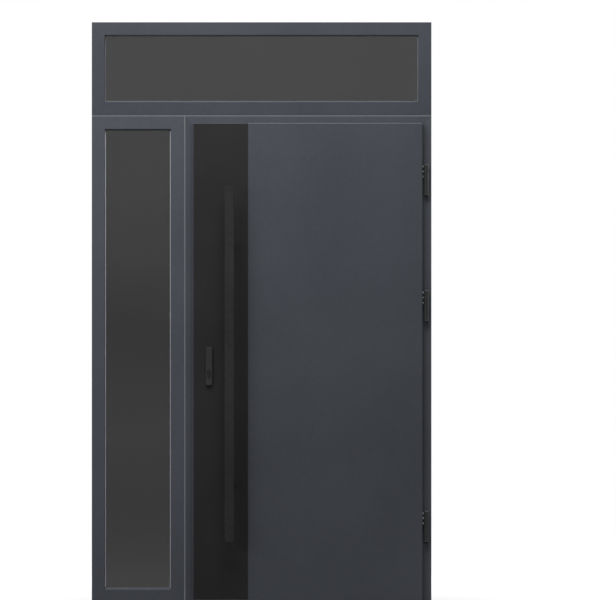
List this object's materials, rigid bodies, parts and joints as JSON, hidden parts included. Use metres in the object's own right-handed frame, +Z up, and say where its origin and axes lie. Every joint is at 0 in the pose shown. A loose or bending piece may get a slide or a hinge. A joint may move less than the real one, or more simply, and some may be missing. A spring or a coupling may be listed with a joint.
{
  "type": "exterior door with glazed sidelight and transom",
  "caption": "Outward-opening flush exterior door with a tall pull bar, in a metal frame with a fixed glazed sidelight and a fixed glazed transom over both.",
  "frame": {"origin": "on the underside of the threshold, at the middle of the whole unit's width and of the frame's depth", "axes": "+X to the right as seen from outside, +Y into the house, +Z up"},
  "size_m": [1.455, 0.207, 2.485],
  "materials": {
    "frame_paint": "fine-textured powder coat, anthracite grey",
    "leaf_paint": "fine-textured powder coat, anthracite grey",
    "black_panel": "matt black laminate on sheet",
    "black_hardware": "satin black coating",
    "bare_aluminium": "satin anodised",
    "lock_steel": "nickel-plated, satin",
    "smoked_glass": "clear float with grey tint",
    "glazing_gasket": "matt grey rubber",
    "black_seal": "matt black rubber",
    "insulating_core": "rigid foam board"
  },
  "bodies": {
    "frame": {"transom_left_stile": "frame_paint", "transom_head_rail": "frame_paint", "transom_right_stile": "frame_paint", "transom_bottom_rail": "frame_paint", "transom_glass": "smoked_glass", "transom_spacer": "bare_aluminium", "transom_gaskets": "glazing_gasket", "transom_beads": "frame_paint", "sidelight_left_stile": "frame_paint", "sidelight_head_rail": "frame_paint", "sidelight_right_stile": "frame_paint", "sidelight_bottom_rail": "frame_paint", "sidelight_glass": "smoked_glass", "sidelight_spacer": "bare_aluminium", "sidelight_gaskets": "glazing_gasket", "sidelight_beads": "frame_paint", "coupling_strip_horizontal": "bare_aluminium", "coupling_strip_vertical": "bare_aluminium", "door_frame_latch_jamb": "frame_paint", "door_frame_hinge_jamb": "frame_paint", "door_frame_head": "frame_paint", "threshold": "bare_aluminium", "frame_seal": "black_seal", "strike_plates": "lock_steel", "hinge_frame_halves": "black_hardware", "hinge_pins": "lock_steel"},
    "leaf": {"leaf_lock_stile": "leaf_paint", "leaf_hinge_stile": "leaf_paint", "leaf_top_rail": "leaf_paint", "leaf_bottom_rail": "leaf_paint", "leaf_core": "insulating_core", "leaf_face_panel": "leaf_paint", "leaf_strip_panel": "black_panel", "leaf_inner_panel": "leaf_paint", "leaf_seal": "black_seal", "lock_faceplate": "lock_steel", "lock_bolts": "lock_steel", "dog_bolts": "lock_steel", "outside_escutcheon": "black_hardware", "lock_cylinder": "black_hardware", "cylinder_plugs": "black_hardware", "inside_backplate": "black_hardware", "inside_lever": "black_hardware", "pull_bar": "black_hardware", "pull_posts": "black_hardware", "hinge_leaf_halves": "black_hardware"}
  },
  "joints": [
    {"name": "leaf_swing", "type": "hinge", "parent": "frame", "child": "leaf", "pos_m": [0.7052, -0.06, 1], "axis": [0, 0, 1], "range_deg": [0, 120]}
  ]
}
